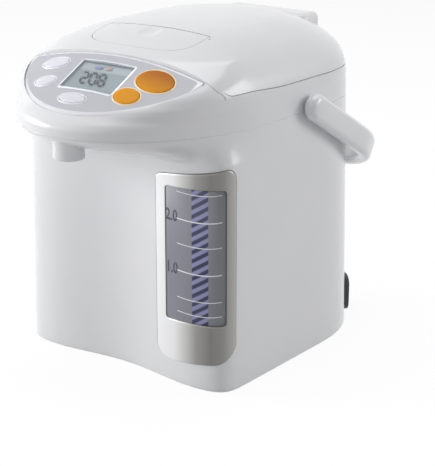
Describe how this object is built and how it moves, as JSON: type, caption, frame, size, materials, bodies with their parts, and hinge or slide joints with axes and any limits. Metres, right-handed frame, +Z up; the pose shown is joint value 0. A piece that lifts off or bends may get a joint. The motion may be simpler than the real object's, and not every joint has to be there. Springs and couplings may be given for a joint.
{
  "type": "electric thermo pot",
  "caption": "Electric thermo pot with a beaked top, sloping control panel, hinged lid, water gauge behind a corner window and a carrying handle.",
  "frame": {"origin": "centre of the body's foot, on the surface it stands on", "axes": "+Z up, the spout and control panel point to -Y, +X towards the corner window's side"},
  "size_m": [0.2552, 0.3477, 0.302],
  "materials": {
    "white_shell": "satin",
    "panel": "pearl",
    "display_glass": "polished",
    "display": "satin",
    "board": "satin",
    "dark_plastic": "satin",
    "orange_button": "gloss",
    "pale_button": "gloss",
    "silver_frame": "silver paint",
    "smoke_pane": "polished",
    "clear_tube": "polished",
    "steel": "brushed",
    "aluminium": "cast",
    "bright_metal": "plated",
    "brass": "plain",
    "rubber": "matt",
    "silicone": "matt",
    "jacket": "felt",
    "inner_plastic": "moulded"
  },
  "bodies": {
    "pot": {"body_shell": "white_shell", "base_plate": "inner_plastic", "rubber_feet": "rubber", "base_screws": "bright_metal", "top_cover": "white_shell", "control_panel": "panel", "lcd_lens": "display_glass", "lcd_module": "display", "control_board": "board", "tact_switches": "dark_plastic", "spout_nozzle": "white_shell", "spout_tube": "steel", "riser_pipe": "steel", "window_frame": "silver_frame", "window_pane": "smoke_pane", "gauge_tube": "clear_tube", "gauge_fittings": "silicone", "inner_pot": "steel", "pot_screws": "bright_metal", "pot_seal": "silicone", "heat_jacket": "jacket", "heater_plate": "aluminium", "thermistor": "aluminium", "pump_housing": "inner_plastic", "pump_motor": "bright_metal", "pump_inlet_seal": "silicone", "power_board": "board", "power_inlet": "dark_plastic", "inlet_contacts": "brass", "handle_pins": "bright_metal", "hinge_bracket": "steel", "hinge_screws": "bright_metal", "hinge_pin": "bright_metal"},
    "lid": {"lid_outer": "white_shell", "lid_inner": "steel", "lid_gasket": "silicone", "steam_valve": "inner_plastic", "valve_ball": "bright_metal", "hinge_cover": "white_shell", "lever_pin": "bright_metal", "rocker_stand": "inner_plastic", "rocker_pin": "bright_metal", "latch_guides": "inner_plastic", "latch_spring": "bright_metal", "lid_screws": "bright_metal"},
    "lever": {"lid_lever": "white_shell"},
    "rocker": {"latch_rocker": "bright_metal"},
    "latch": {"latch_hook": "inner_plastic"},
    "handle": {"handle": "white_shell"},
    "impeller": {"impeller": "inner_plastic"},
    "dispense": {"dispense_button": "orange_button"},
    "unlock": {"unlock_button": "orange_button"},
    "reboil": {"reboil_button": "pale_button"},
    "timer": {"timer_button": "pale_button"},
    "temperature": {"temp_button": "pale_button"}
  },
  "joints": [
    {"name": "lid_hinge", "type": "hinge", "parent": "pot", "child": "lid", "pos_m": [0, 0.112, 0.262], "axis": [-1, 0, 0], "range_deg": [0, 80]},
    {"name": "lever_hinge", "type": "hinge", "parent": "lid", "child": "lever", "pos_m": [0, -0.066, 0.2928], "axis": [-1, 0, 0], "range_deg": [0, 18], "stiffness_Nm_per_rad": 0.05, "springref_deg": -28.65},
    {"name": "rocker_hinge", "type": "hinge", "parent": "lid", "child": "rocker", "pos_m": [0, -0.07, 0.2768], "axis": [1, 0, 0], "range_deg": [0, 42.1]},
    {"name": "latch_slide", "type": "slide", "parent": "lid", "child": "latch", "axis": [0, 1, 0], "range_m": [0, 0.00481], "deforming": ["latch_spring"]},
    {"name": "handle_hinge", "type": "hinge", "parent": "pot", "child": "handle", "pos_m": [0, 0.005, 0.2305], "axis": [1, 0, 0], "range_deg": [0, 120]},
    {"name": "impeller_spin", "type": "hinge", "parent": "pot", "child": "impeller", "pos_m": [0, -0.062, 0.04], "axis": [0, 0, 1], "continuous": true},
    {"name": "dispense_press", "type": "slide", "parent": "pot", "child": "dispense", "axis": [-0.1178, 0.4662, -0.8768], "range_m": [0, 0.0012], "stiffness_N_per_m": 600, "springref_m": -0.0004},
    {"name": "unlock_press", "type": "slide", "parent": "pot", "child": "unlock", "axis": [-0.0918, 0.4675, -0.8792], "range_m": [0, 0.0012], "stiffness_N_per_m": 600, "springref_m": -0.0004},
    {"name": "reboil_press", "type": "slide", "parent": "pot", "child": "reboil", "axis": [0.1199, 0.4661, -0.8766], "range_m": [0, 0.0012], "stiffness_N_per_m": 600, "springref_m": -0.0004},
    {"name": "timer_press", "type": "slide", "parent": "pot", "child": "timer", "axis": [0.1033, 0.467, -0.8782], "range_m": [0, 0.0012], "stiffness_N_per_m": 600, "springref_m": -0.0004},
    {"name": "temperature_press", "type": "slide", "parent": "pot", "child": "temperature", "axis": [0.0074, 0.4695, -0.8829], "range_m": [0, 0.0012], "stiffness_N_per_m": 600, "springref_m": -0.0004}
  ],
  "couplings": [
    {"joint": "rocker_hinge", "follows": "lever_hinge", "ratio": 2.3333},
    {"joint": "latch_slide", "follows": "lever_hinge", "m_per_rad": 0.015279}
  ]
}
